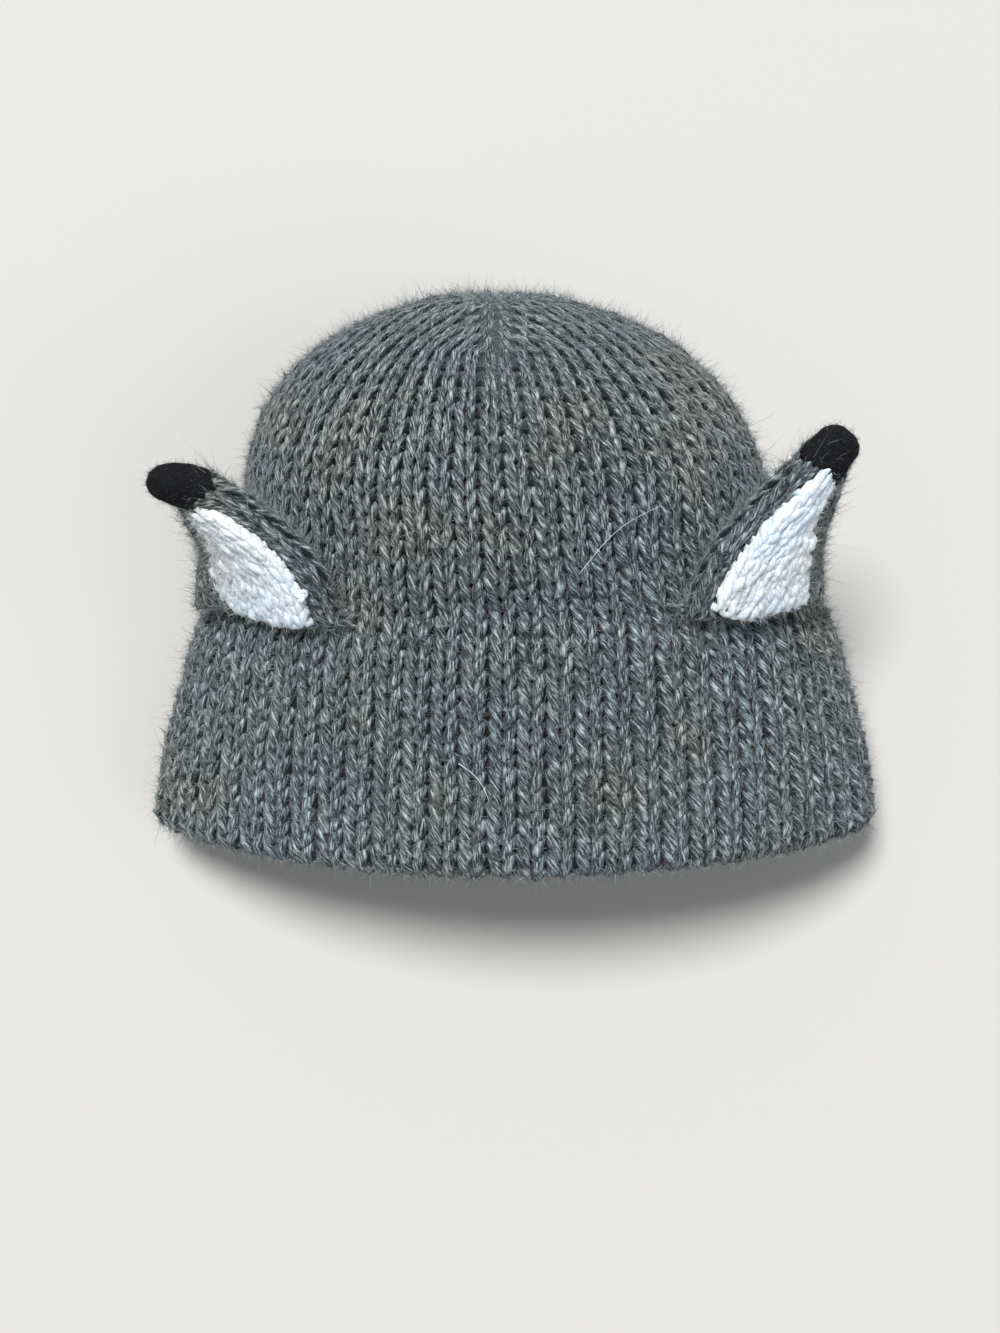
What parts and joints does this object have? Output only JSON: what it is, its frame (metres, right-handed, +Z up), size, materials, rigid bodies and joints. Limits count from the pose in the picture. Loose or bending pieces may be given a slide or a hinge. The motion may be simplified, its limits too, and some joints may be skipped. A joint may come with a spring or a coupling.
{
  "type": "baby hat with ears",
  "caption": "Knitted grey wool baby hat with fox ears, lying on its back: puffed crown, doubled flared brim, white knitted ear linings and black felted ear tips.",
  "frame": {"origin": "middle of the hat's footprint on the surface it lies on", "axes": "+Z up through the front of the hat, +Y from the hem to the crown, +X across the hat"},
  "size_m": [0.1636, 0.1272, 0.0753],
  "materials": {
    "grey_knit": "matte",
    "white_knit": "matte",
    "black_felt": "matte"
  },
  "bodies": {
    "root": {"crown": "grey_knit", "brim": "grey_knit", "ear_shell_left": "grey_knit", "ear_lining_left": "white_knit", "ear_tip_left": "black_felt", "ear_shell_right": "grey_knit", "ear_lining_right": "white_knit", "ear_tip_right": "black_felt"}
  },
  "joints": []
}
